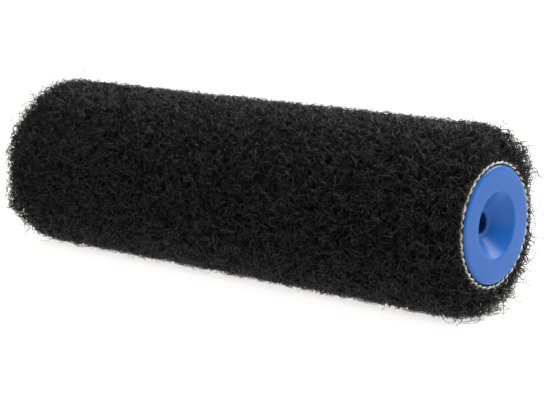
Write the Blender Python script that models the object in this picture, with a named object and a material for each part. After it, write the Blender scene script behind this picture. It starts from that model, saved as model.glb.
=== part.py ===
"""Paint roller sleeve: 25 cm of nylon pile on a 48 mm core, with a pressed-in bearing cap at each end.

The sleeve lies on its pile. The origin is under the middle of it, on the surface it rests on. The roller's
axis is parallel to X, and +Z is up. The sleeve slides onto the bare 8 mm rod of a roller frame, which runs
through both caps, and turns on it.
"""

import math

import bmesh
import bpy
from mathutils import Matrix, Vector

MM = 0.001

# Driving dimensions
OVERALL_LENGTH = 250 * MM
CORE_RADIUS = 24 * MM
CORE_WALL = 1.8 * MM
CLOTH_THICKNESS = 1.1 * MM
CLOTH_STRIP_WIDTH = 73 * MM
PILE_RADIUS = 39.25 * MM
PILE_SHOULDER = 9 * MM
PILE_SPRING = 5 * MM
SHOULDER_STEPS = 6
ROD_BORE_RADIUS = 4.1 * MM
GAP = 0.3 * MM  # clearance between neighbours, where the real roller has glue or a press fit

# Every round piece has the same facets at the same angles, so that coaxial pieces keep their gap all round.
FACETS = 48
FACET_ANGLE = 2 * math.pi / FACETS
FIRST_ANGLE = FACET_ANGLE / 2

# The pile flattens where it rests: three facets of it lie on the surface.
REST_FACETS = 3
AXIS_HEIGHT = PILE_RADIUS * math.cos(REST_FACETS * FACET_ANGLE / 2)

# End cap, measured from the sleeve's end plane: a depth is positive going into the roller.
FACE_PROUD = 0.7 * MM
FLANGE_THICKNESS = 1.8 * MM
FLANGE_EDGE = 1.0 * MM
FUNNEL_RADIUS = 13.7 * MM
FUNNEL_EDGE = 0.8 * MM
FUNNEL_DEPTH = 7.2 * MM
SEAT_RADIUS = 6.4 * MM
BORE_CHAMFER = 0.5 * MM
HUB_RADIUS = 6.2 * MM
HUB_DEPTH = 25 * MM
HUB_LEAD_IN = 0.9 * MM
CAP_WALL = 1.6 * MM
BARREL_RADIUS = 21.5 * MM
BARREL_DEPTH = 18 * MM
BARREL_LEAD_IN = 0.8 * MM
CRUSH_RIBS = 12
CRUSH_RIB_RADIUS = 21.85 * MM
CRUSH_RIB_WIDTH = 1.2 * MM
CRUSH_RIB_DEPTHS = (3 * MM, 15 * MM)
WEBS = 6
WEB_DEPTHS = (13 * MM, 18 * MM)  # at the barrel and at the hub
FINGER_SLOTS = 3  # each runs right across the hub, midway between webs, so the hub has six fingers
FINGER_SLOT_WIDTH = 1.2 * MM
FINGER_SLOT_DEPTH = 18.5 * MM

SLEEVE_LENGTH = OVERALL_LENGTH - 2 * FACE_PROUD
FLANGE_BACK = FLANGE_THICKNESS - FACE_PROUD
CONE_SLOPE = (FUNNEL_RADIUS - SEAT_RADIUS) / FUNNEL_DEPTH
CONE_WALL = CAP_WALL * math.sqrt(1 + CONE_SLOPE**2)  # measured along the radius
CORE_LENGTH = SLEEVE_LENGTH - 2 * (FLANGE_BACK + GAP)
CLOTH_INNER = CORE_RADIUS + GAP
CLOTH_OUTER = CLOTH_INNER + CLOTH_THICKNESS
PILE_INNER = CLOTH_OUTER + GAP


# Materials

def material(name, colour, roughness, metallic=0.0):
    made = bpy.data.materials.new(name)
    made.use_nodes = True
    shader = made.node_tree.nodes["Principled BSDF"]
    shader.inputs["Base Color"].default_value = (*colour, 1.0)
    shader.inputs["Roughness"].default_value = roughness
    shader.inputs["Metallic"].default_value = metallic
    return made


def make_materials():
    return {
        "blue_plastic": material("blue_plastic", (0.07, 0.19, 0.57), 0.35),
        "core_plastic": material("core_plastic", (0.75, 0.76, 0.74), 0.5),
        "base_cloth": material("base_cloth", (0.62, 0.62, 0.56), 0.9),
        "black_nylon": material("black_nylon", (0.012, 0.012, 0.014), 0.6),
    }


# Shape tools. An outline is a list of (distance along the axis, radius).

def new_object(name, mesh_maker, finish, location):
    """An object from what mesh_maker adds to an empty bmesh, with its normals facing out."""
    shape = bmesh.new()
    mesh_maker(shape)
    bmesh.ops.recalc_face_normals(shape, faces=shape.faces)
    mesh = bpy.data.meshes.new(name)
    shape.to_mesh(mesh)
    shape.free()
    mesh.materials.append(finish)
    mesh.shade_smooth()
    mesh.set_sharp_from_angle(angle=math.radians(32))
    made = bpy.data.objects.new(name, mesh)
    made.location = location
    bpy.context.scene.collection.objects.link(made)
    return made


def turn(shape, outline):
    """Spins a closed outline round the X axis into a ring."""
    start = Matrix.Rotation(FIRST_ANGLE, 3, "X")
    points = [shape.verts.new(start @ Vector((x, 0, radius))) for x, radius in outline]
    edges = [shape.edges.new((a, b)) for a, b in zip(points, points[1:] + points[:1])]
    bmesh.ops.spin(
        shape,
        geom=points + edges,
        cent=(0, 0, 0),
        axis=(1, 0, 0),
        dvec=(0, 0, 0),
        angle=2 * math.pi,
        space=Matrix.Identity(4),
        steps=FACETS,
        use_merge=True,
        use_duplicate=False,
    )


def plate(shape, outline, width, angle):
    """A flat plate of that width whose (x, radius) outline lies in the half plane at that angle round X."""
    turned = Matrix.Rotation(angle, 3, "X")
    sides = [
        [shape.verts.new(turned @ Vector((x, side * width / 2, radius))) for x, radius in outline]
        for side in (-1, 1)
    ]
    shape.faces.new(sides[0])
    shape.faces.new(reversed(sides[1]))
    for i in range(len(outline)):
        j = (i + 1) % len(outline)
        shape.faces.new((sides[0][i], sides[1][i], sides[1][j], sides[0][j]))


def arc(centre, radius, start, end, steps):
    """Points of an arc in an outline's plane, between two angles in degrees."""
    return [
        (
            centre[0] + radius * math.cos(math.radians(start + (end - start) * i / steps)),
            centre[1] + radius * math.sin(math.radians(start + (end - start) * i / steps)),
        )
        for i in range(steps + 1)
    ]


def helper(made):
    made.hide_render = True
    made.display_type = "WIRE"
    return made


def combine(target, operation, other):
    modifier = target.modifiers.new(other.name, "BOOLEAN")
    modifier.operation = operation
    modifier.solver = "EXACT"
    modifier.object = helper(other)


# The sleeve

def make_core(finish, location):
    """The stiff plastic tube that the cloth is wound on and the caps are pressed into."""
    end = CORE_LENGTH / 2
    inner = CORE_RADIUS - CORE_WALL
    outline = [(-end, inner), (end, inner), (end, CORE_RADIUS), (-end, CORE_RADIUS)]
    return new_object("core_tube", lambda shape: turn(shape, outline), finish, location)


def make_cloth(finish, location):
    """The pile fabric's base cloth: one long strip, wound in a helix with its edges butted, then cut square."""
    circumference = 2 * math.pi * CLOTH_OUTER
    pitch = CLOTH_STRIP_WIDTH / math.sqrt(1 - (CLOTH_STRIP_WIDTH / circumference) ** 2)
    half_width = (pitch - GAP) / 2
    turns_each_way = math.ceil(SLEEVE_LENGTH / 2 / pitch + 0.5)

    def wound(shape):
        rings = []
        for step in range(-turns_each_way * FACETS, turns_each_way * FACETS + 1):
            turned = Matrix.Rotation(FIRST_ANGLE + step * FACET_ANGLE, 3, "X")
            middle = pitch * step / FACETS
            section = (
                (middle - half_width, CLOTH_INNER),
                (middle + half_width, CLOTH_INNER),
                (middle + half_width, CLOTH_OUTER),
                (middle - half_width, CLOTH_OUTER),
            )
            rings.append([shape.verts.new(turned @ Vector((x, 0, radius))) for x, radius in section])
        shape.faces.new(rings[0])
        shape.faces.new(rings[-1])
        for ring, following in zip(rings, rings[1:]):
            for i in range(4):
                j = (i + 1) % 4
                shape.faces.new((ring[i], ring[j], following[j], following[i]))

    def cut_length(shape):
        bmesh.ops.create_cube(shape, size=1)
        bmesh.ops.scale(shape, vec=(SLEEVE_LENGTH, 4 * CLOTH_OUTER, 4 * CLOTH_OUTER), verts=shape.verts)

    cloth = new_object("base_cloth", wound, finish, location)
    combine(cloth, "INTERSECT", new_object("cut_length", cut_length, finish, location))
    return cloth


def make_pile(finish, location):
    """The pile's own bulk: a ring with rounded shoulders, flattened where it rests."""
    end = SLEEVE_LENGTH / 2 - GAP
    spring_line = PILE_INNER - PILE_SPRING  # the shoulders are quarter ellipses that start below the cloth
    height = PILE_RADIUS - spring_line
    last_angle = math.acos(PILE_SPRING / height)
    shoulder = []
    for i in range(SHOULDER_STEPS + 1):
        angle = last_angle * i / SHOULDER_STEPS
        x = end - PILE_SHOULDER * (1 - math.sin(angle) / math.sin(last_angle))
        shoulder.append((x, spring_line + height * math.cos(angle)))
    outline = [(-x, radius) for x, radius in reversed(shoulder)] + shoulder

    def flattened(shape):
        turn(shape, outline)
        for vert in shape.verts:
            vert.co.z = max(vert.co.z, -AXIS_HEIGHT)

    return new_object("pile", flattened, finish, location)


# The end caps

def cap_outline():
    """The cap as it is turned, with x measured outwards from the sleeve's end plane."""
    face, back = FACE_PROUD, -FLANGE_BACK
    seat = face - FUNNEL_DEPTH
    cone_meets_hub = seat + (HUB_RADIUS - SEAT_RADIUS - CONE_WALL) / CONE_SLOPE
    cone_meets_flange = FUNNEL_RADIUS + CONE_WALL - CONE_SLOPE * (face - back)
    barrel_inner = BARREL_RADIUS - CAP_WALL
    hub_end, barrel_end = -HUB_DEPTH, -BARREL_DEPTH
    cone_angle = math.degrees(math.atan(CONE_SLOPE))
    edge_set_back = FUNNEL_EDGE * math.tan(math.radians((90 - cone_angle) / 2))
    return [
        (back, CORE_RADIUS),
        *arc((face - FLANGE_EDGE, CORE_RADIUS - FLANGE_EDGE), FLANGE_EDGE, 90, 0, 3),
        *arc((face - FUNNEL_EDGE, FUNNEL_RADIUS + edge_set_back), FUNNEL_EDGE, 0, cone_angle - 90, 3),
        (seat, SEAT_RADIUS),
        (seat, ROD_BORE_RADIUS + BORE_CHAMFER),
        (seat - BORE_CHAMFER, ROD_BORE_RADIUS),
        (hub_end + HUB_LEAD_IN, ROD_BORE_RADIUS),
        (hub_end, ROD_BORE_RADIUS + HUB_LEAD_IN),
        (hub_end, HUB_RADIUS),
        (cone_meets_hub, HUB_RADIUS),
        (back, cone_meets_flange),
        (back, barrel_inner),
        (barrel_end, barrel_inner),
        (barrel_end, BARREL_RADIUS - BARREL_LEAD_IN),
        (barrel_end + BARREL_LEAD_IN, BARREL_RADIUS),
        (back, BARREL_RADIUS),
    ]


def web_outline():
    """A web joins the hub, the cone and the barrel, and its free edge slopes down to the hub."""
    in_flange = FACE_PROUD - FLANGE_THICKNESS / 2
    in_cone = FUNNEL_RADIUS + CONE_WALL / 2 - CONE_SLOPE * (FACE_PROUD - in_flange)
    in_barrel = BARREL_RADIUS - CAP_WALL / 2
    in_hub = (ROD_BORE_RADIUS + HUB_RADIUS) / 2
    cone_end = in_flange - (in_cone - in_hub) / CONE_SLOPE
    return [
        (in_flange, in_cone),
        (in_flange, in_barrel),
        (-WEB_DEPTHS[0], in_barrel),
        (-WEB_DEPTHS[1], in_hub),
        (cone_end, in_hub),
    ]


def rib_outline():
    """A crush rib stands on the barrel and bites into the core as the cap is pressed in."""
    start, end = CRUSH_RIB_DEPTHS
    root = BARREL_RADIUS - CAP_WALL / 2
    return [(-start, root), (-start, CRUSH_RIB_RADIUS), (-end + MM, CRUSH_RIB_RADIUS), (-end, root)]


def slot_outline():
    """A slot that opens at the hub's inner end and runs right across it."""
    beyond = 2 * MM
    reach = HUB_RADIUS + beyond
    inner, outer = -FINGER_SLOT_DEPTH, -HUB_DEPTH - beyond
    return [(inner, -reach), (inner, reach), (outer, reach), (outer, -reach)]


def make_cap(side, facing, finish, location):
    """One moulding: flange, funnel, hub, barrel, webs, crush ribs and the hub's fingers."""
    cap = new_object(f"end_cap_{side}", lambda shape: turn(shape, cap_outline()), finish, location)

    def webs(shape):
        for i in range(WEBS):
            plate(shape, web_outline(), CAP_WALL, 2 * math.pi * i / WEBS)

    def ribs(shape):
        for i in range(CRUSH_RIBS):
            plate(shape, rib_outline(), CRUSH_RIB_WIDTH, FACET_ANGLE + 2 * math.pi * i / CRUSH_RIBS)

    def slots(shape):
        for i in range(FINGER_SLOTS):
            angle = math.pi / WEBS + math.pi * i / FINGER_SLOTS
            plate(shape, slot_outline(), FINGER_SLOT_WIDTH, angle)

    cap.rotation_euler.z = facing
    for name, operation, maker in (
        ("webs", "UNION", webs),
        ("ribs", "UNION", ribs),
        ("slots", "DIFFERENCE", slots),
    ):
        tool = new_object(f"{side}_{name}", maker, finish, location)
        tool.rotation_euler.z = facing
        combine(cap, operation, tool)
    return cap


def main():
    for old in list(bpy.data.objects):
        bpy.data.objects.remove(old)
    finishes = make_materials()
    axis = Vector((0, 0, AXIS_HEIGHT))
    end = Vector((SLEEVE_LENGTH / 2, 0, 0))
    make_core(finishes["core_plastic"], axis)
    make_cloth(finishes["base_cloth"], axis)
    make_pile(finishes["black_nylon"], axis)
    make_cap("right", 0, finishes["blue_plastic"], axis + end)
    make_cap("left", math.pi, finishes["blue_plastic"], axis - end)


main()
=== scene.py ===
"""Looks for a paint roller sleeve: curly black nylon pile, woven base cloth and blue moulded end caps.

The roller lies on a pale floor under soft studio light. Everything is in metres, in the CAD part's frame.
"""

import math

import bpy
import bmesh
import numpy as np
from mathutils import Matrix, Vector


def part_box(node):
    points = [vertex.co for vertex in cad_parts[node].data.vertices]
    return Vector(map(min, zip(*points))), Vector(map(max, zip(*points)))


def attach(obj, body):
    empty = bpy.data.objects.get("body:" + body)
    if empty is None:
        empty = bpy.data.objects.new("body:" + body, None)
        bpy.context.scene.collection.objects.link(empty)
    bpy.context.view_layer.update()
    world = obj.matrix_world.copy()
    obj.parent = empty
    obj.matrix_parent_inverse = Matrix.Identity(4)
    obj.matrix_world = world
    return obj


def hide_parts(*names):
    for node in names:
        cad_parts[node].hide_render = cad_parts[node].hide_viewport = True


MM = 0.001

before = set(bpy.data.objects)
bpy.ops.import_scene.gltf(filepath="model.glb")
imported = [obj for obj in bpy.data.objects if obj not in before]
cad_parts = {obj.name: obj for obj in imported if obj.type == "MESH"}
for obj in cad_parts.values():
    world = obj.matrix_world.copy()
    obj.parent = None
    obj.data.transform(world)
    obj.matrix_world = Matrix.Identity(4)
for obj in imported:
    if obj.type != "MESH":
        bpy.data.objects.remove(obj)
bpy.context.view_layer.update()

# Places taken from the CAD nodes
FACET_ANGLE = 2 * math.pi / 48
PILE_LOW, PILE_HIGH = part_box("pile")
CLOTH_LOW, CLOTH_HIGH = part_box("base_cloth")
CAP_LOW, CAP_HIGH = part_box("end_cap_right")
AXIS_HEIGHT = (CAP_LOW.z + CAP_HIGH.z) / 2
PILE_END = PILE_HIGH.x
PILE_RADIUS = PILE_HIGH.y / math.cos(FACET_ANGLE / 2)
CLOTH_END = CLOTH_HIGH.x
CLOTH_OUTER = CLOTH_HIGH.y / math.cos(FACET_ANGLE / 2)
CAP_FACE = CAP_HIGH.x
CAP_RADIUS = CAP_HIGH.y / math.cos(FACET_ANGLE / 2)

# The pile's outer surface: a cylinder with shoulders that are parts of an ellipse
SHOULDER_LENGTH = 9.0 * MM
SHOULDER_END = 5.0 * MM  # how far above its spring line the shoulder reaches the pile's end
SPRING_LINE = CLOTH_OUTER - 4.7 * MM
SHOULDER_START = PILE_END - SHOULDER_LENGTH
SHOULDER_HEIGHT = PILE_RADIUS - SPRING_LINE
SHOULDER_REACH = SHOULDER_LENGTH / math.sqrt(1 - (SHOULDER_END / SHOULDER_HEIGHT) ** 2)

# The pile's fibres
TUFT_PITCH = 2.3 * MM
TUFT_NAMES = 65536  # tufts share this many leans and heights
FLOOR_GAP = 0.18 * MM  # how far above the floor the middle of a pressed fibre lies
FINE_STEPS = 16  # the steps in which a fibre grows

# Where the loft at the ends is fuller or thinner: side, direction round the axis, spread, and how far.
# The direction is 0 at the top and 90 towards +Y. It and the spread are in degrees, and the last is in mm.
END_LOFT = [
    (1, 44, 28, 3.0),
    (1, 86, 19, -2.9),
    (1, 122, 20, 2.2),
    (1, 165, 22, 2.8),
    (-1, 218, 34, 3.7),
    (-1, 240, 9, 4.5),
    (-1, 306, 32, 1.0),
]

# The end caps
FACE_PROUD = CAP_FACE - CLOTH_END
FLANGE_BACK = 1.1 * MM
RIM = (1.25 * MM, 1.75 * MM)  # the rounded rim's size along the axis and along the radius
FUNNEL_RADIUS = 13.7 * MM
FUNNEL_EDGE = 1.6 * MM
SEAT_RADIUS = 6.4 * MM
SEAT_DEPTH = 7.2 * MM
BORE_RADIUS = 4.1 * MM
BORE_EDGE = 0.7 * MM
HUB_RADIUS = 6.2 * MM
HUB_DEPTH = 25 * MM
HUB_CHAMFER = 0.9 * MM
CAP_WALL = 1.6 * MM
BARREL_RADIUS = 21.5 * MM
BARREL_DEPTH = 18 * MM
BARREL_CHAMFER = 0.8 * MM
RIB_RADIUS = 21.85 * MM
RIB_WIDTH = 1.2 * MM
SLOT_WIDTH = 1.2 * MM
SLOT_REACH = 8.2 * MM
CONE_SLOPE = (FUNNEL_RADIUS - SEAT_RADIUS) / SEAT_DEPTH
CONE_WALL = CAP_WALL * math.sqrt(1 + CONE_SLOPE**2)

# The base cloth's edge
BEADS = 44  # how often the edge yarn shows round the cloth's end
YARN_RADIUS = (CAP_RADIUS + CLOTH_OUTER) / 2 + 0.2 * MM
BARE_DIRECTION, BARE_SPREAD = 240, 55  # where the ground threads show, in degrees round the axis

# The stage: places in metres and powers in watts
FLOOR_HALF = 12.0
BRIGHT_SIDE = (-0.55, 0.8, 0.25)  # the room is brightest in this direction
SOFTBOXES = [  # name, place, target, size, power
    ("softbox_top", (0.1, -0.07, 1.1), (0, 0, 0), (0.5, 1.2), 11.2),
    ("softbox_front", (0.57, -0.36, 1.0), (0.12, 0, 0.04), (0.4, 0.36), 3.2),
    ("softbox_back", (0.45, 1.3, 1.05), (0, 0, 0), (1.8, 0.9), 26),
]
CAMERA_PLACE = (0.43485, -0.52292, AXIS_HEIGHT + 0.12981)
CAMERA_DIRECTION = (-0.61748, 0.76202, -0.19504)
CAMERA_LENS, CAMERA_SENSOR = 103.16, 36  # mm


# ---------------------------------------------------------------- node tools

def new_material(name):
    made = bpy.data.materials.new(name)
    made.use_nodes = True
    return made, made.node_tree.nodes, made.node_tree.links, made.node_tree.nodes["Principled BSDF"]


def noise_node(nodes, links, coordinate, scale, detail=2.0, roughness=0.5):
    noise = nodes.new("ShaderNodeTexNoise")
    noise.inputs["Scale"].default_value = scale
    noise.inputs["Detail"].default_value = detail
    noise.inputs["Roughness"].default_value = roughness
    links.new(coordinate, noise.inputs["Vector"])
    return noise


def ramp_node(nodes, links, value, stops):
    ramp = nodes.new("ShaderNodeValToRGB")
    elements = ramp.color_ramp.elements
    elements[0].position, elements[0].color = stops[0][0], (*stops[0][1], 1)
    elements[1].position, elements[1].color = stops[-1][0], (*stops[-1][1], 1)
    for position, colour in stops[1:-1]:
        elements.new(position).color = (*colour, 1)
    links.new(value, ramp.inputs["Fac"])
    return ramp


def map_range(nodes, links, value, low, high, start=0.3, end=0.7):
    """Goes from low to high as the value goes from start to end. The defaults suit a noise node."""
    node = nodes.new("ShaderNodeMapRange")
    node.inputs["From Min"].default_value = start
    node.inputs["From Max"].default_value = end
    node.inputs["To Min"].default_value = low
    node.inputs["To Max"].default_value = high
    links.new(value, node.inputs["Value"])
    return node


def vector_node(nodes, links, operation, vector, other=None):
    node = nodes.new("ShaderNodeVectorMath")
    node.operation = operation
    links.new(vector, node.inputs[0])
    if other is not None:
        node.inputs[1].default_value = other
    return node


def math_node(nodes, links, operation, first, second=None):
    node = nodes.new("ShaderNodeMath")
    node.operation = operation
    links.new(first, node.inputs[0])
    if second is not None:
        links.new(second, node.inputs[1])
    return node.outputs["Value"]


def bump_node(nodes, links, height, shader, strength, distance):
    bump = nodes.new("ShaderNodeBump")
    bump.inputs["Strength"].default_value = strength
    bump.inputs["Distance"].default_value = distance
    links.new(height, bump.inputs["Height"])
    links.new(bump.outputs["Normal"], shader.inputs["Normal"])


# ---------------------------------------------------------------- materials

def fibre_material():
    """Black nylon: each fibre has its own shade, partly a random tone and partly painted shade, darker deep
    in the pile and lighter at its surface, and a soft shine.
    """
    made, nodes, links, shader = new_material("nylon_fibre")
    where = nodes.new("ShaderNodeTexCoord").outputs["Object"]
    shade = nodes.new("ShaderNodeAttribute")
    shade.attribute_name = "shade"
    colour = ramp_node(nodes, links, shade.outputs["Fac"], [
        (0.0, (0.0045, 0.0045, 0.0047)),
        (0.5, (0.007, 0.007, 0.0075)),
        (0.85, (0.015, 0.015, 0.0165)),
        (1.0, (0.028, 0.028, 0.031)),
    ])
    links.new(colour.outputs["Color"], shader.inputs["Base Color"])
    mottle = noise_node(nodes, links, where, 500)
    rough = map_range(nodes, links, mottle.outputs["Fac"], 0.24, 0.36)
    links.new(rough.outputs["Result"], shader.inputs["Roughness"])
    shader.inputs["Specular IOR Level"].default_value = 0.37
    return made


def undercoat_material():
    """The dark tangle deep in the pile: its black fibres, and painted shade among them, darker than the
    fibres' own colour.
    """
    made, nodes, links, shader = new_material("pile_depth")
    where = nodes.new("ShaderNodeTexCoord").outputs["Object"]
    tangle = noise_node(nodes, links, where, 900, detail=6, roughness=0.7)
    # Partly painted shade: darker than the fibres, for the shade deep in the pile.
    colour = ramp_node(nodes, links, tangle.outputs["Fac"], [
        (0.35, (0.001, 0.001, 0.0011)),
        (0.7, (0.006, 0.006, 0.0065)),
    ])
    links.new(colour.outputs["Color"], shader.inputs["Base Color"])
    shader.inputs["Roughness"].default_value = 0.9
    shader.inputs["Specular IOR Level"].default_value = 0.1
    bump_node(nodes, links, tangle.outputs["Fac"], shader, 0.6, 0.6 * MM)
    return made


def cap_material():
    """Blue moulded plastic, satin, with a smoother rim.

    The bore, and the crevice between the rim and the cloth, are painted darker: painted shade in these
    recesses.
    """
    made, nodes, links, shader = new_material("blue_plastic")
    where = nodes.new("ShaderNodeTexCoord").outputs["Object"]
    clouds = noise_node(nodes, links, where, 90, detail=3)
    colour = ramp_node(nodes, links, clouds.outputs["Fac"], [
        (0.3, (0.013, 0.115, 0.425)),
        (0.7, (0.017, 0.127, 0.475)),
    ])
    from_axis = vector_node(nodes, links, "ADD", where, (0, 0, -AXIS_HEIGHT))
    outwards = vector_node(nodes, links, "MULTIPLY", from_axis.outputs["Vector"], (0, 1, 1))
    radius = vector_node(nodes, links, "LENGTH", outwards.outputs["Vector"]).outputs["Value"]
    along = vector_node(nodes, links, "MULTIPLY", from_axis.outputs["Vector"], (1, 0, 0))
    along = vector_node(nodes, links, "LENGTH", along.outputs["Vector"]).outputs["Value"]
    # Painted shade: the base colour is scaled down to 0.45 in the bore and to 0.1 in the crevice behind the
    # rim.
    bore_painted_shade, crevice_painted_shade = 0.45, 0.1
    bore = map_range(nodes, links, radius, bore_painted_shade, 1, BORE_RADIUS + 0.1 * MM, BORE_RADIUS + 0.5 * MM)
    crevice = map_range(nodes, links, along, crevice_painted_shade, 1, CLOTH_END - 0.3 * MM, CLOTH_END + 0.35 * MM)
    inside = map_range(nodes, links, radius, 1, 0, CAP_RADIUS - 1.5 * MM, CAP_RADIUS - 0.3 * MM)
    painted_shade_scale = math_node(nodes, links, "MAXIMUM", crevice.outputs["Result"], inside.outputs["Result"])
    painted_shade_scale = math_node(nodes, links, "MULTIPLY", painted_shade_scale, bore.outputs["Result"])
    painted_shade_colour = vector_node(nodes, links, "SCALE", colour.outputs["Color"])
    links.new(painted_shade_scale, painted_shade_colour.inputs["Scale"])
    links.new(painted_shade_colour.outputs["Vector"], shader.inputs["Base Color"])
    smears = noise_node(nodes, links, where, 350, detail=5, roughness=0.65)
    rough = map_range(nodes, links, smears.outputs["Fac"], 0.29, 0.35)
    polish = map_range(nodes, links, radius, 1, 0.5, CAP_RADIUS - 2.0 * MM, CAP_RADIUS - 1.2 * MM)
    rough = math_node(nodes, links, "MULTIPLY", rough.outputs["Result"], polish.outputs["Result"])
    links.new(rough, shader.inputs["Roughness"])
    shader.inputs["Specular IOR Level"].default_value = 0.24
    grain = noise_node(nodes, links, where, 2600, detail=3)
    bump_node(nodes, links, grain.outputs["Fac"], shader, 0.08, 0.05 * MM)
    return made


def yarn_material(name, dark, light):
    """Spun off-white yarn: fine fibres along it, and a little dirt in random blotches."""
    made, nodes, links, shader = new_material(name)
    where = nodes.new("ShaderNodeTexCoord").outputs["Object"]
    stain = noise_node(nodes, links, where, 700, detail=4, roughness=0.6)
    colour = ramp_node(nodes, links, stain.outputs["Fac"], [(0.35, dark), (0.62, light)])
    links.new(colour.outputs["Color"], shader.inputs["Base Color"])
    shader.inputs["Roughness"].default_value = 0.85
    shader.inputs["Sheen Weight"].default_value = 0.3
    threads = noise_node(nodes, links, where, 5200, detail=3)
    bump_node(nodes, links, threads.outputs["Fac"], shader, 0.5, 0.08 * MM)
    return made


def cloth_material():
    """The base cloth's plain weave, dark where the pile is rooted in it."""
    made, nodes, links, shader = new_material("base_cloth_weave")
    where = nodes.new("ShaderNodeTexCoord").outputs["Object"]
    bands = nodes.new("ShaderNodeTexWave")
    bands.inputs["Scale"].default_value = 260
    bands.inputs["Distortion"].default_value = 2.5
    bands.inputs["Detail"].default_value = 2
    links.new(where, bands.inputs["Vector"])
    colour = ramp_node(nodes, links, bands.outputs["Fac"], [
        (0.25, (0.012, 0.012, 0.012)),
        (0.8, (0.16, 0.155, 0.14)),
    ])
    links.new(colour.outputs["Color"], shader.inputs["Base Color"])
    shader.inputs["Roughness"].default_value = 0.9
    bump_node(nodes, links, bands.outputs["Fac"], shader, 0.6, 0.3 * MM)
    return made


def core_material():
    """Natural polypropylene, with faint draw lines along the extrusion."""
    made, nodes, links, shader = new_material("core_plastic_extruded")
    where = nodes.new("ShaderNodeTexCoord").outputs["Object"]
    stretched = nodes.new("ShaderNodeMapping")
    stretched.inputs["Scale"].default_value = (4, 300, 300)
    links.new(where, stretched.inputs["Vector"])
    lines = noise_node(nodes, links, stretched.outputs["Vector"], 1, detail=3)
    colour = ramp_node(nodes, links, lines.outputs["Fac"], [
        (0.3, (0.66, 0.67, 0.64)),
        (0.7, (0.76, 0.77, 0.74)),
    ])
    links.new(colour.outputs["Color"], shader.inputs["Base Color"])
    rough = map_range(nodes, links, lines.outputs["Fac"], 0.4, 0.55)
    links.new(rough.outputs["Result"], shader.inputs["Roughness"])
    return made


# ---------------------------------------------------------------- mesh tools

def mesh_object(name, vertices, faces, finish):
    mesh = bpy.data.meshes.new(name)
    mesh.from_pydata(vertices, [], faces)
    mesh.materials.append(finish)
    mesh.shade_smooth()
    made = bpy.data.objects.new(name, mesh)
    bpy.context.scene.collection.objects.link(made)
    return made


def unit(vectors):
    return vectors / np.linalg.norm(vectors, axis=-1, keepdims=True).clip(1e-12)


def tubes(name, lines, radii, shades, finish):
    """One mesh of thin closed three-sided tubes. lines is (count, points, 3); each tube ends in a point."""
    count, points, _ = lines.shape
    rings = points - 1
    tangents = unit(np.gradient(lines, axis=1))
    across = unit(np.cross(tangents[:, 0], np.array([0.31, 0.52, 0.79])))
    ring_points = np.empty((count, rings, 3, 3))
    for k in range(rings):
        across = unit(across - tangents[:, k] * np.sum(across * tangents[:, k], axis=1, keepdims=True))
        third = np.cross(tangents[:, k], across)
        for side in range(3):
            angle = 2 * math.pi * side / 3
            offset = across * math.cos(angle) + third * math.sin(angle)
            ring_points[:, k, side] = lines[:, k] + offset * radii[:, k, None]
    per_tube = rings * 3 + 1
    vertices = np.concatenate([ring_points.reshape(count, rings * 3, 3), lines[:, -1:, :]], axis=1)
    quads, quad_uv = [], []
    for k in range(rings - 1):
        for side in range(3):
            following = (side + 1) % 3
            quads.append((k * 3 + side, k * 3 + following, (k + 1) * 3 + following, (k + 1) * 3 + side))
            quad_uv += [(side, k), (side + 1, k), (side + 1, k + 1), (side, k + 1)]
    tris = [(2, 1, 0)]
    tri_uv = [(2, 0), (1, 0), (0, 0)]
    for side in range(3):
        tris.append(((rings - 1) * 3 + side, (rings - 1) * 3 + (side + 1) % 3, rings * 3))
        tri_uv += [(side, rings - 1), (side + 1, rings - 1), (side + 0.5, rings)]
    pattern = np.concatenate([np.array(quads).ravel(), np.array(tris).ravel()])
    sizes = np.array([4] * len(quads) + [3] * len(tris))
    loops = (pattern[None, :] + np.arange(count)[:, None] * per_tube).ravel()
    starts_one = np.concatenate([[0], np.cumsum(sizes)[:-1]])
    starts = (starts_one[None, :] + np.arange(count)[:, None] * len(pattern)).ravel()
    mesh = bpy.data.meshes.new(name)
    mesh.vertices.add(count * per_tube)
    mesh.vertices.foreach_set("co", vertices.astype(np.float32).ravel())
    mesh.loops.add(len(loops))
    mesh.loops.foreach_set("vertex_index", loops.astype(np.int32))
    mesh.polygons.add(len(starts))
    mesh.polygons.foreach_set("loop_start", starts.astype(np.int32))
    cells = math.ceil(math.sqrt(count))
    local = np.array(quad_uv + tri_uv, float) / [3, rings] * 0.8 + 0.1
    corner = np.stack([np.arange(count) % cells, np.arange(count) // cells], axis=1)
    uv = (local[None] + corner[:, None]) / cells
    layer = mesh.uv_layers.new(name="OFBake")
    layer.uv.foreach_set("vector", uv.astype(np.float32).ravel())
    attribute = mesh.attributes.new("shade", "FLOAT", "POINT")
    attribute.data.foreach_set("value", np.repeat(shades, per_tube).astype(np.float32))
    mesh.update(calc_edges=True)
    mesh.materials.append(finish)
    mesh.shade_smooth()
    made = bpy.data.objects.new(name, mesh)
    bpy.context.scene.collection.objects.link(made)
    return made


class Lattice:
    """Smooth random values on a repeating 2D grid."""

    def __init__(self, rng, size, cell):
        self.values = rng.uniform(-1, 1, (size, size))
        self.size, self.cell = size, cell

    def __call__(self, x, y):
        x, y = x / self.cell, y / self.cell
        xi, yi = np.floor(x).astype(int), np.floor(y).astype(int)
        xf, yf = x - xi, y - yi
        xf, yf = xf * xf * (3 - 2 * xf), yf * yf * (3 - 2 * yf)
        x0, y0 = xi % self.size, yi % self.size
        x1, y1 = (x0 + 1) % self.size, (y0 + 1) % self.size
        v = self.values
        low = v[x0, y0] * (1 - xf) + v[x1, y0] * xf
        high = v[x0, y1] * (1 - xf) + v[x1, y1] * xf
        return low * (1 - yf) + high * yf


# ---------------------------------------------------------------- pile

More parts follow.
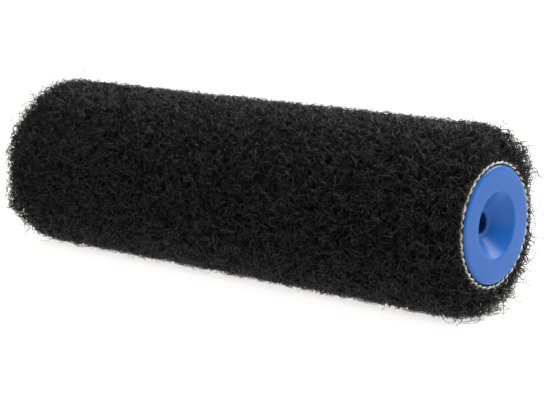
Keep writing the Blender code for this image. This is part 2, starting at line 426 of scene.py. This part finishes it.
def profile(count):
    """Points (x, radius) along the pile's outline, evenly spaced, with their lengths from the left end."""
    last = math.acos(SHOULDER_END / SHOULDER_HEIGHT)
    angles = np.linspace(0, last, 200)
    x = SHOULDER_START + SHOULDER_REACH * np.sin(angles)
    right = np.stack([x, SPRING_LINE + SHOULDER_HEIGHT * np.cos(angles)], axis=1)
    left = right[::-1] * [-1, 1]
    outline = np.concatenate([left, right])
    lengths = np.concatenate([[0], np.cumsum(np.linalg.norm(np.diff(outline, axis=0), axis=1))])
    even = np.linspace(0, lengths[-1], count)
    return np.stack([np.interp(even, lengths, outline[:, k]) for k in (0, 1)], axis=1)


def height_above(x, radius):
    """Height above the pile's outer surface, and the surface's outward normal in the (x, radius) plane."""
    along = np.maximum(np.abs(x) - SHOULDER_START, 0)
    a, b = along / SHOULDER_REACH, (radius - SPRING_LINE) / SHOULDER_HEIGHT
    b = np.maximum(b, 0.02)
    value = np.sqrt(a * a + b * b)
    nx, nr = a / SHOULDER_REACH / value, b / SHOULDER_HEIGHT / value
    size = np.sqrt(nx * nx + nr * nr)
    return (value - 1) / size, np.sign(x) * nx / size, nr / size


def to_world(x, radius, angle):
    return np.stack([x, radius * np.sin(angle), AXIS_HEIGHT + radius * np.cos(angle)], axis=-1)


def keep_off_floor(points, clearance):
    """Presses points that would be under the floor flat against it."""
    softness = 0.4 * MM
    z = points[..., 2] - clearance
    points[..., 2] = clearance + softness * np.logaddexp(0, z / softness)
    return points


def grow(rng, x, radius, angle, length, tightness, ceiling, points=6, lean=0.0, lift=0.0):
    """Curly fibres from their roots. Each is sheared off where it reaches its ceiling.

    lean is an optional (count, 3) lean shared by a tuft, and lift pulls the fibres outwards all the way.
    """
    count = len(x)
    position = np.stack([x, radius, np.zeros(count)], axis=1)
    height, nx, nr = height_above(x, radius)
    direction = np.stack([nx * 0.55, nr * 0.55 + 0.45, np.zeros(count)], axis=1)
    direction = unit(direction + rng.normal(0, 0.4, (count, 3)) + lean)
    bend = rng.normal(0, 1, (count, 3)) + lean * 2.5
    bend = unit(bend - direction * np.sum(bend * direction, axis=1, keepdims=True))
    twist = rng.normal(0, 0.22, count) / MM
    stride = length / FINE_STEPS
    line, heights = [position], [height]
    for _ in range(FINE_STEPS):
        side = np.cross(direction, bend)
        roll = (twist * stride)[:, None]
        direction = unit(direction + bend * (tightness * stride)[:, None])
        bend = bend * np.cos(roll) + side * np.sin(roll)
        deep = np.clip((-3.4 * MM - height) / (1.5 * MM), 0, 1)[:, None]
        normal = np.stack([nx, nr, np.zeros(count)], axis=1)
        direction = unit(direction + normal * (deep * 0.35 + lift))
        bend = unit(bend - direction * np.sum(bend * direction, axis=1, keepdims=True))
        position = position + direction * stride[:, None]
        height, nx, nr = height_above(position[:, 0], position[:, 1])
        line.append(position)
        heights.append(height)
    line, heights = np.stack(line, axis=1), np.stack(heights, axis=1)
    over = heights > ceiling[:, None]
    over[:, :4] = False
    cut = np.where(over.any(axis=1), over.argmax(axis=1), FINE_STEPS).astype(float)
    places = cut[:, None] * np.linspace(0, 1, points)[None, :]
    lower = np.minimum(places.astype(int), FINE_STEPS - 1)
    share = (places - lower)[..., None]
    rows = np.arange(count)[:, None]
    line = line[rows, lower] * (1 - share) + line[rows, lower + 1] * share
    turned = angle[:, None] + line[..., 2] / np.maximum(line[:, :1, 1], 20 * MM)
    return to_world(line[..., 0], line[..., 1], turned)


def scatter(rng, count, outline):
    """Random places spread evenly over the pile's outer surface."""
    middle = (outline[1:] + outline[:-1]) / 2
    weights = middle[:, 1] / middle[:, 1].sum()
    pick = rng.choice(len(middle), count, p=weights)
    share = rng.uniform(-0.5, 0.5, count)[:, None]
    points = middle[pick] + (outline[1:] - outline[:-1])[pick] * share
    return points[:, 0], points[:, 1], rng.uniform(0, 2 * math.pi, count)


def tuft_of(rng, x, arc):
    """Which tuft each place belongs to, on a jittered grid."""
    rows = np.floor(arc / TUFT_PITCH).astype(int)
    shift = rng.uniform(0, 1, 512)[rows % 512]
    return (np.floor(x / TUFT_PITCH + shift).astype(int) * 131 + rows * 977) % TUFT_NAMES


def smooth(value):
    value = np.clip(value, 0, 1)
    return value * value * (3 - 2 * value)


def loft_ends(points):
    """Pushes the pile's ends out or in along the axis, as END_LOFT says."""
    radius = np.hypot(points[..., 1], points[..., 2] - AXIS_HEIGHT)
    angle = np.degrees(np.arctan2(points[..., 1], points[..., 2] - AXIS_HEIGHT))
    share = smooth((np.abs(points[..., 0]) - 102 * MM) / (20 * MM)) * smooth((radius - 27 * MM) / (7 * MM))
    for side, centre, spread, far in END_LOFT:
        away = (angle - centre + 180) % 360 - 180
        own_side = points[..., 0] * side > 0
        points[..., 0] += side * own_side * share * far * MM * np.exp(-((away / spread) ** 2))
    return points


def body_fibres(rng, tufts, count=96000):
    """The pile's body: many fibres low down, and fewer towards its surface."""
    clumps = Lattice(rng, 64, 3.4 * MM)
    waves = Lattice(rng, 64, 10 * MM)
    x, radius, angle = scatter(rng, count, profile(1200))
    keep = rng.uniform(0, 1, count) > 0.9 * smooth((np.abs(x) - 110 * MM) / (9 * MM))
    x, radius, angle = x[keep], radius[keep], angle[keep]
    count = len(x)
    arc = angle * PILE_RADIUS
    tuft = tuft_of(rng, x, arc)
    relief = 0.12 * clumps(x, arc) + 0.12 * waves(x, arc) + tufts["height"][tuft]
    rise = 1.3 - rng.gamma(1.7, 1.0, count) + 0.9 * (rng.uniform(0, 1, count) < 0.05)
    depth = rng.uniform(1.6, 3.6, count) * MM - np.minimum(rise, 0) * 0.5 * MM
    _, nx, nr = height_above(x, radius)
    ceiling = (rise + relief) * MM
    length = rng.uniform(4.5, 8.5, count) * MM
    tightness = rng.uniform(0.16, 0.52, count) / MM
    lean = tufts["lean"][tuft]
    x_root, radius_root = x - nx * depth, radius - nr * depth
    lines = grow(rng, x_root, radius_root, angle, length, tightness, ceiling, lean=lean, lift=0.02)
    top = smooth((rise + 0.4) / 1.4)
    # Painted shade: fibres that stay deep in the pile get darker shades, and those that reach its surface
    # lighter ones, over a random tone.
    shades = np.clip(rng.beta(1.3, 3.2, count) * (0.5 + top) + 0.22 * top, 0, 1)
    thickness = (rng.uniform(0.1, 0.135, count) + 0.04 * top) * MM
    thickness *= 1 + 0.2 * smooth((np.abs(x) - 104 * MM) / (12 * MM))
    return lines, shades, thickness


def end_fibres(rng, tufts, count=6800):
    """The loose fibres of the two ends, rooted from the cloth upwards, which lean out over the ends."""
    share = rng.uniform(0, 1, count)
    x = (106 + 17.4 * share) * MM * rng.choice([-1, 1], count, p=[0.6, 0.4])
    angle = rng.uniform(0, 2 * math.pi, count)
    root = CLOTH_OUTER + 0.2 * MM
    along = (np.abs(x) - SHOULDER_START).clip(0) / SHOULDER_REACH
    room = SPRING_LINE + SHOULDER_HEIGHT * np.sqrt(1 - along.clip(0, 0.999) ** 2) - root
    radius = root + room * rng.uniform(0, 0.6, count)
    tuft = tuft_of(rng, x, angle * PILE_RADIUS)
    lean = tufts["lean"][tuft] * 0.8
    lean[:, 0] += np.sign(x) * (0.1 + 0.6 * share**2)
    ceiling = (0.9 - rng.gamma(1.7, 0.7, count) + tufts["height"][tuft]) * MM
    length = (root + room - radius) * 1.3 + rng.uniform(1, 4, count) * MM
    tightness = rng.uniform(0.2, 0.6, count) / MM
    lines = grow(rng, x, radius, angle, length, tightness, ceiling, points=8, lean=lean, lift=0.02)
    return lines, rng.beta(1.4, 3.0, count), rng.uniform(0.14, 0.2, count) * MM


def stray_fibres(rng, count, low, high, rise, finest=0.06):
    """Fine fibres that stand proud of the pile, between two shares of its length from the middle."""
    x, radius, angle = scatter(rng, count * 20, profile(1200))
    inside = (np.abs(x) / PILE_END > low) & (np.abs(x) / PILE_END < high)
    x, radius, angle = x[inside][:count], radius[inside][:count], angle[inside][:count]
    count = len(x)
    _, nx, nr = height_above(x, radius)
    depth = rng.uniform(0.5, 2.5, count) * MM
    ceiling = np.minimum(rng.gamma(2.0, rise, count) + rise, 7.5) * MM
    length = rng.uniform(4, 9, count) * MM + 0.8 * ceiling
    tightness = rng.uniform(0.15, 0.6, count) / MM
    x_root, radius_root = x - nx * depth, radius - nr * depth
    lines = grow(rng, x_root, radius_root, angle, length, tightness, ceiling, points=8, lift=0.03)
    return lines, rng.beta(1.4, 3.0, count), (finest + rng.uniform(0, 0.04, count)) * MM


def edge_fibres(rng, count=6000):
    """Short fibres low down along both ends. They hide the cloth and come up between the yarn's beads."""
    side = rng.choice([-1, 1], count)
    share = rng.uniform(0, 1, count)
    x = side * (CLOTH_END - (0.8 + 6.2 * share**1.5) * MM)
    bead = 2 * math.pi / BEADS
    angle = (rng.integers(0, BEADS, count) + rng.normal(0, 0.05 + share * 0.6, count)) * bead
    radius = CLOTH_OUTER - rng.uniform(0, 0.6, count) * MM
    lean_out = side * rng.uniform(-0.5, 0.35, count)
    lean = np.stack([lean_out, np.full(count, 0.5), rng.normal(0, 0.4, count)], axis=1)
    length = rng.uniform(2, 5.5, count) * MM
    tightness = rng.uniform(0.15, 0.6, count) / MM
    ceiling = np.full(count, 9 * MM)
    lines = grow(rng, x, radius, angle, length, tightness, ceiling, points=8, lean=lean)
    lines[..., 0] = np.clip(lines[..., 0], -CLOTH_END + 0.15 * MM, CLOTH_END - 0.15 * MM)
    return lines, rng.beta(1.2, 4.0, count), rng.uniform(0.11, 0.16, count) * MM


def clear_of_cap(lines):
    """Which fibres hang nowhere over an end cap or its edge yarn."""
    radius = np.hypot(lines[..., 1], lines[..., 2] - AXIS_HEIGHT)
    room = 0.75 * (radius - CLOTH_OUTER - 1.0 * MM).clip(0)
    return (np.abs(lines[..., 0]) <= CLOTH_END + room).all(axis=1)


def make_pile():
    """All the fibres, in pieces that each cover a stretch of the pile's length."""
    rng = np.random.default_rng(20)
    lean = rng.normal(0, 0.3, (TUFT_NAMES, 3)) * [1, 0.35, 1]
    tufts = {"lean": lean, "height": rng.normal(0, 0.36, TUFT_NAMES)}
    groups = [
        body_fibres(rng, tufts),
        end_fibres(rng, tufts),
        edge_fibres(rng),
        stray_fibres(rng, 2400, -1.0, 1.0, 0.75),
        stray_fibres(rng, 1000, 0.93, 1.0, 1.6, finest=0.09),
    ]
    finish = fibre_material()
    pieces = []
    for word, first, last, share in (("body", 0, 1, 14), ("end", 1, 3, 3), ("stray", 3, 5, 1)):
        lines, shades, thickness = [np.concatenate(part) for part in zip(*groups[first:last])]
        lines = keep_off_floor(loft_ends(lines), FLOOR_GAP)
        clear = clear_of_cap(lines)
        order = np.argsort(np.where(clear, lines[:, 0, 0], 1.0), kind="stable")[: clear.sum()]
        for band, members in enumerate(np.array_split(order, share)):
            radii = thickness[members, None] * np.linspace(1.1, 0.85, lines.shape[1] - 1)[None, :]
            name = f"pile_{word}_{band + 1:02d}"
            pieces.append(tubes(name, lines[members], radii, shades[members], finish))
    return pieces


def make_undercoat():
    """A closed dark skin deep in the pile, so that no light comes through its body; its near-black colour is
    partly painted shade of the deep pile. It tapers at the ends.
    """
    rng = np.random.default_rng(7)
    lumps = Lattice(rng, 64, 2.6 * MM)
    fine = Lattice(rng, 64, 1.3 * MM)
    around = 264
    inner = CLOTH_OUTER + 0.15 * MM
    start, end, high = 103 * MM, 121.5 * MM, PILE_RADIUS - 3.9 * MM
    quarter = np.linspace(0, math.pi / 2, 24)
    taper_x = start + (end - start) * np.sin(quarter)
    taper = np.stack([taper_x, inner + (high - inner) * np.cos(quarter)], axis=1)
    middle = np.stack([np.linspace(-start, start, 190)[1:-1], np.full(188, high)], axis=1)
    section = np.concatenate([taper[::-1] * [-1, 1], middle, taper])
    px, pr = section[:, 0], section[:, 1]
    angle = np.arange(around) / around * 2 * math.pi
    xs, angles = np.meshgrid(px, angle, indexing="ij")
    rs = np.repeat(pr[:, None], around, axis=1)
    arc = angles * PILE_RADIUS
    offset = (0.7 * lumps(xs + rs, arc) + 0.35 * fine(xs + rs, arc)) * MM
    rs = np.maximum(rs + offset * np.clip((pr - inner) / MM, 0, 1)[:, None], inner)
    points = to_world(xs, rs, angles)
    points = keep_off_floor(loft_ends(points), 0.5 * MM)
    index = np.arange(len(section) * around).reshape(len(section), around)
    following = np.roll(index, -1, axis=0)
    corners = [index, np.roll(index, -1, axis=1), np.roll(following, -1, axis=1), following]
    faces = np.stack(corners, axis=-1).reshape(-1, 4)
    return mesh_object("pile_depth", points.reshape(-1, 3).tolist(), faces.tolist(), undercoat_material())


# ---------------------------------------------------------------- end caps

def arc(centre, radii, start, end, steps):
    """Points of an ellipse's arc in an outline's plane, between two angles in degrees."""
    angles = np.radians(np.linspace(start, end, steps + 1))
    return [(centre[0] + radii[0] * math.cos(a), centre[1] + radii[1] * math.sin(a)) for a in angles]


def cap_outline():
    """The turned cap's section: x outwards from the cloth's end, and the radius."""
    face, back, seat = FACE_PROUD, -FLANGE_BACK, FACE_PROUD - SEAT_DEPTH
    cone_angle = math.degrees(math.atan(CONE_SLOPE))
    set_back = FUNNEL_EDGE * math.tan(math.radians((90 - cone_angle) / 2))
    rim_centre = (face - RIM[0], CAP_RADIUS - RIM[1])
    edge_centre = (face - FUNNEL_EDGE, FUNNEL_RADIUS + set_back)
    lip_centre = (seat - BORE_EDGE, BORE_RADIUS + BORE_EDGE)
    inner = BARREL_RADIUS - CAP_WALL
    return [
        (back, CAP_RADIUS),
        *arc(rim_centre, RIM, 90, 0, 14),
        *arc(edge_centre, (FUNNEL_EDGE, FUNNEL_EDGE), 0, cone_angle - 90, 10),
        (seat + 0.35 * MM, SEAT_RADIUS + 0.35 * MM * CONE_SLOPE),
        (seat + 0.08 * MM, SEAT_RADIUS - 0.02 * MM),
        (seat, SEAT_RADIUS - 0.25 * MM),
        *arc(lip_centre, (BORE_EDGE, BORE_EDGE), 0, -90, 8),
        (-HUB_DEPTH + HUB_CHAMFER, BORE_RADIUS),
        (-HUB_DEPTH, BORE_RADIUS + HUB_CHAMFER),
        (-HUB_DEPTH, HUB_RADIUS),
        (seat + (HUB_RADIUS - SEAT_RADIUS - CONE_WALL) / CONE_SLOPE, HUB_RADIUS),
        (back, FUNNEL_RADIUS + CONE_WALL - CONE_SLOPE * (face - back)),
        (back, inner),
        (-BARREL_DEPTH, inner),
        (-BARREL_DEPTH, BARREL_RADIUS - BARREL_CHAMFER),
        (-BARREL_DEPTH + BARREL_CHAMFER, BARREL_RADIUS),
        (back, BARREL_RADIUS),
    ]


def turned(outline, segments):
    """Vertices and faces of a closed outline of (x, radius) turned round the X axis."""
    points = np.array(outline)
    angles = np.arange(segments) / segments * 2 * math.pi
    x = np.repeat(points[:, :1], segments, axis=1)
    vertices = np.stack([x, points[:, 1:] * np.sin(angles), points[:, 1:] * np.cos(angles)], axis=-1)
    index = np.arange(vertices.shape[0] * segments).reshape(-1, segments)
    following = np.roll(index, -1, axis=0)
    faces = np.stack([index, following, np.roll(following, -1, axis=1), np.roll(index, -1, axis=1)], axis=-1)
    return vertices.reshape(-1, 3).tolist(), faces.reshape(-1, 4).tolist()


def plates(outline, width, angles):
    """Flat plates whose (x, radius) outline lies in the half plane at each angle round X."""
    vertices, faces = [], []
    count = len(outline)
    for angle in angles:
        turn = Matrix.Rotation(angle, 3, "X")
        base = len(vertices)
        for side in (-0.5, 0.5):
            vertices += [turn @ Vector((x, side * width, radius)) for x, radius in outline]
        faces.append([base + i for i in range(count)])
        faces.append([base + count + i for i in reversed(range(count))])
        for i in range(count):
            j = (i + 1) % count
            faces.append([base + i, base + count + i, base + count + j, base + j])
    return vertices, faces


def face_out(made):
    shape = bmesh.new()
    shape.from_mesh(made.data)
    bmesh.ops.recalc_face_normals(shape, faces=shape.faces)
    if shape.calc_volume(signed=True) < 0:
        bmesh.ops.reverse_faces(shape, faces=shape.faces)
    shape.to_mesh(made.data)
    shape.free()
    return made


def combine(target, operation, tool):
    """Adds or cuts the tool for good, and removes it."""
    face_out(tool)
    modifier = target.modifiers.new("combine", "BOOLEAN")
    modifier.operation = operation
    modifier.solver = "EXACT"
    modifier.object = tool
    evaluated = target.evaluated_get(bpy.context.evaluated_depsgraph_get())
    mesh = bpy.data.meshes.new_from_object(evaluated)
    target.modifiers.clear()
    target.data = mesh
    bpy.data.objects.remove(tool)


def make_cap(name, finish):
    """The right cap at the origin: turned body, six webs, twelve crush ribs and a hub with six fingers."""
    cap = face_out(mesh_object(name, *turned(cap_outline(), 144), finish))
    in_flange = FACE_PROUD / 2 - FLANGE_BACK / 2
    in_cone = FUNNEL_RADIUS + CONE_WALL / 2 - CONE_SLOPE * (FACE_PROUD - in_flange)
    in_hub = (BORE_RADIUS + HUB_RADIUS) / 2
    in_barrel = BARREL_RADIUS - CAP_WALL / 2
    web = [
        (in_flange, in_cone),
        (in_flange, in_barrel),
        (-13 * MM, in_barrel),
        (-18 * MM, in_hub),
        (in_flange - (in_cone - in_hub) / CONE_SLOPE, in_hub),
    ]
    rib = [(-3 * MM, in_barrel), (-3 * MM, RIB_RADIUS), (-14 * MM, RIB_RADIUS), (-15 * MM, in_barrel)]
    slot = [
        (-18.5 * MM, -SLOT_REACH),
        (-18.5 * MM, SLOT_REACH),
        (-27 * MM, SLOT_REACH),
        (-27 * MM, -SLOT_REACH),
    ]
    sixth = math.pi / 3
    for operation, outline, width, angles in (
        ("UNION", web, CAP_WALL, [sixth * i for i in range(6)]),
        ("UNION", rib, RIB_WIDTH, [FACET_ANGLE + sixth / 2 * i for i in range(12)]),
        ("DIFFERENCE", slot, SLOT_WIDTH, [sixth / 2 + sixth * i for i in range(3)]),
    ):
        combine(cap, operation, mesh_object("tool", *plates(outline, width, angles), finish))
    cap.data.shade_smooth()
    cap.data.set_sharp_from_angle(angle=math.radians(28))
    return cap


def place(piece, side):
    """Moves a piece made round the origin to the cloth's end on that side. The left one is turned about Z."""
    turn = Matrix.Rotation(0 if side > 0 else math.pi, 4, "Z")
    piece.data.transform(Matrix.Translation((side * CLOTH_END, 0, AXIS_HEIGHT)) @ turn)
    return piece


# ---------------------------------------------------------------- base cloth

def closed_tube(points, radii, sides=7):
    """Vertices and faces of a tube along a closed line. radii is (points, 2): across it, and outwards."""
    count = len(points)
    tangents = unit(np.roll(points, -1, axis=0) - np.roll(points, 1, axis=0))
    outward = unit(points * [0, 1, 1])
    across = unit(np.cross(tangents, outward))
    outward = np.cross(across, tangents)
    angles = np.arange(sides) / sides * 2 * math.pi
    vertices = (
        points[:, None]
        + across[:, None] * (np.cos(angles)[None, :, None] * radii[:, :1, None])
        + outward[:, None] * (np.sin(angles)[None, :, None] * radii[:, 1:, None])
    )
    index = np.arange(count * sides).reshape(count, sides)
    following = np.roll(index, -1, axis=0)
    faces = np.stack([index, following, np.roll(following, -1, axis=1), np.roll(index, -1, axis=1)], axis=-1)
    return vertices.reshape(-1, 3), faces.reshape(-1, 4)


def on_ring(x, radius, angle):
    """Points round the X axis. The angle is 0 at the top."""
    return np.stack([x, radius * np.sin(angle), radius * np.cos(angle)], axis=-1)


def merged(name, shells, finish):
    """One object from several (vertices, faces) shells."""
    vertices, faces, base = [], [], 0
    for shell_vertices, shell_faces in shells:
        vertices.append(shell_vertices)
        faces.append(shell_faces + base)
        base += len(shell_vertices)
    made = mesh_object(name, np.concatenate(vertices).tolist(), np.concatenate(faces).tolist(), finish)
    return face_out(made)


def make_edge_yarn(name, rng, finish):
    """The cut edge's last weft: a two-ply yarn whose plies show as a row of slanted beads."""
    steps = BEADS * 16
    angle = np.arange(steps) / steps * 2 * math.pi
    uneven = Lattice(rng, 64, 1.0)
    wobble = uneven(angle * 64 / (2 * math.pi), angle * 0)
    phase = BEADS / 2 * angle + 0.25 * wobble
    shells = []
    for ply in (0, math.pi):
        wind = phase + ply
        front = np.cos(wind)
        px = (-0.66 + 0.42 * front + 0.08 * wobble) * MM
        pr = YARN_RADIUS + (0.3 * np.sin(wind) + 0.07 * np.roll(wobble, 9)) * MM
        size = (0.07 + 0.47 * ((1 + front) / 2) ** 2.2 + 0.03 * wobble).clip(0.06) * MM
        shells.append(closed_tube(on_ring(px, pr, angle), np.stack([size * 1.1, size * 0.8], axis=1)))
    return merged(name, shells, finish)


def make_loops(name, rng, finish):
    """Ground threads: short slanted ends that lead outwards from the edge yarn, where the pile is bare."""
    count = BEADS * 2
    start = (np.arange(count) + rng.normal(0, 0.3, count))[:, None] / count * 2 * math.pi
    t = np.linspace(0, 1, 7)[None, :]
    far = rng.uniform(0.9, 2.0, count)[:, None] * MM
    out = rng.uniform(1.0, 2.1, count)[:, None] * MM
    angle = start + t * far / YARN_RADIUS + rng.normal(0, 0.002, (count, 7))
    radius = YARN_RADIUS + 0.4 * MM + out * t
    x = (0.3 + 0.3 * np.sin(t * math.pi)) * MM + rng.normal(0, 0.15, count)[:, None] * MM
    thick = rng.uniform(0.14, 0.22, count)[:, None] * MM * np.linspace(1.1, 0.7, 6)[None, :]
    bare = np.exp(-((np.degrees(start[:, 0]) - BARE_DIRECTION) / BARE_SPREAD) ** 2)
    keep = rng.uniform(0, 1, count) < 0.8 * bare
    return tubes(name, on_ring(x, radius, angle)[keep], thick[keep], np.ones(keep.sum()), finish)


def make_lint(name, rng, finish):
    """Fine loose ends of the yarn."""
    count = 130
    angle = rng.uniform(0, 2 * math.pi, count)
    steps = np.linspace(0, 1, 6)[None, :]
    length = rng.uniform(0.6, 1.8, count)[:, None] * MM
    lean = rng.normal(0, 0.8, count)[:, None]
    radius = YARN_RADIUS + 0.1 * MM + length * steps * 0.7
    wave = 0.5 * MM * np.sin(steps * 4 + lean * 9)
    angles = angle[:, None] + (lean * length * steps + wave) / YARN_RADIUS
    x = -0.2 * MM + rng.normal(0.1, 0.35, count)[:, None] * length * steps
    thick = rng.uniform(0.025, 0.05, count)[:, None] * MM * np.ones((1, 5))
    return tubes(name, on_ring(x, radius, angles), thick, np.ones(count), finish)


def make_cloth(finish):
    """The cloth under the pile, which stops just short of the edge yarn."""
    end = CLOTH_END - 1.3 * MM
    inner, outer = CAP_RADIUS + 0.3 * MM, CLOTH_OUTER
    outline = [(-end, inner), (end, inner), (end, outer), (-end, outer)]
    cloth = face_out(mesh_object("base_cloth_tube", *turned(outline, 144), finish))
    cloth.data.transform(Matrix.Translation((0, 0, AXIS_HEIGHT)))
    cloth.data.set_sharp_from_angle(angle=math.radians(40))
    return cloth


# ---------------------------------------------------------------- stage

def make_floor():
    """A white floor that glows a little, with a painted contact shadow: its glow drops where the roller is
    close above it.
    """
    made, nodes, links, shader = new_material("floor")
    where = nodes.new("ShaderNodeTexCoord").outputs["Object"]
    grain = noise_node(nodes, links, where, 40, detail=4)
    colour = ramp_node(nodes, links, grain.outputs["Fac"], [
        (0.3, (0.19, 0.187, 0.182)),
        (0.7, (0.21, 0.207, 0.202)),
    ])
    links.new(colour.outputs["Color"], shader.inputs["Base Color"])
    shader.inputs["Roughness"].default_value = 0.8
    shader.inputs["Specular IOR Level"].default_value = 0.1
    shader.inputs["Emission Color"].default_value = (1, 0.992, 0.98, 1)
    # Painted contact shadow: ambient occlusion within 6 mm turns the glow down from 0.975 to 0.7.
    shade = nodes.new("ShaderNodeAmbientOcclusion")
    shade.inputs["Distance"].default_value = 6 * MM
    glow_with_painted_shadow = map_range(nodes, links, shade.outputs["AO"], 0.7, 0.975, 0, 1)
    links.new(glow_with_painted_shadow.outputs["Result"], shader.inputs["Emission Strength"])
    half = FLOOR_HALF
    corners = [(-half, -half, 0), (half, -half, 0), (half, half, 0), (-half, half, 0)]
    floor = mesh_object("floor", corners, [(0, 1, 2, 3)], made)


def area_light(name, place, target, size, power):
    light = bpy.data.lights.new(name, "AREA")
    light.shape = "RECTANGLE"
    light.size, light.size_y = size
    light.energy = power
    made = bpy.data.objects.new(name, light)
    made.location = place
    made.rotation_euler = (Vector(target) - Vector(place)).to_track_quat("-Z", "Y").to_euler()
    bpy.context.scene.collection.objects.link(made)


def make_lights():
    """A room that is bright behind the roller and dark in front of it, and the softboxes.

    The camera sees the room as a plain white backdrop.
    """
    world = bpy.data.worlds.new("studio")
    bpy.context.scene.world = world
    world.use_nodes = True
    nodes, links = world.node_tree.nodes, world.node_tree.links
    background = nodes["Background"]
    direction = nodes.new("ShaderNodeTexCoord").outputs["Generated"]
    along = vector_node(nodes, links, "DOT_PRODUCT", direction, BRIGHT_SIDE)
    room = map_range(nodes, links, along.outputs["Value"], 0.06, 0.95, -0.2, 0.75)
    room.interpolation_type = "SMOOTHSTEP"
    seen = nodes.new("ShaderNodeLightPath")
    strength = nodes.new("ShaderNodeMix")
    strength.inputs["B"].default_value = 1.05
    links.new(seen.outputs["Is Camera Ray"], strength.inputs["Factor"])
    links.new(room.outputs["Result"], strength.inputs["A"])
    background.inputs["Color"].default_value = (1, 1, 1, 1)
    links.new(strength.outputs["Result"], background.inputs["Strength"])
    for softbox in SOFTBOXES:
        area_light(*softbox)


def make_camera():
    camera = bpy.data.cameras.new("camera")
    camera.lens = CAMERA_LENS
    camera.sensor_width = CAMERA_SENSOR
    made = bpy.data.objects.new("camera", camera)
    made.location = CAMERA_PLACE
    made.rotation_euler = Vector(CAMERA_DIRECTION).to_track_quat("-Z", "Y").to_euler()
    bpy.context.scene.collection.objects.link(made)
    bpy.context.scene.camera = made


def adopt(pieces, node):
    """Lets the pieces stand for a CAD node, which it hides."""
    for piece in pieces:
        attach(piece, "root")
        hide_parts(node)


def main():
    make_camera()
    make_lights()
    make_floor()
    adopt([make_undercoat(), *make_pile()], "pile")
    blue = cap_material()
    cream = yarn_material("edge_yarn", (0.34, 0.34, 0.31), (0.8, 0.8, 0.76))
    grey = yarn_material("ground_thread", (0.2, 0.2, 0.19), (0.62, 0.62, 0.59))
    rng = np.random.default_rng(44)
    for side, word in ((1, "right"), (-1, "left")):
        adopt([place(make_cap(f"cap_{word}", blue), side)], f"end_cap_{word}")
        trims = [
            make_edge_yarn(f"edge_yarn_{word}", rng, cream),
            make_loops(f"ground_threads_{word}", rng, grey),
            make_lint(f"lint_{word}", rng, cream),
        ]
        adopt([place(trim, side) for trim in trims], "base_cloth")
    adopt([make_cloth(cloth_material())], "base_cloth")
    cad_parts["core_tube"].data.materials[0] = core_material()
    bpy.context.scene.view_settings.view_transform = "Standard"


main()
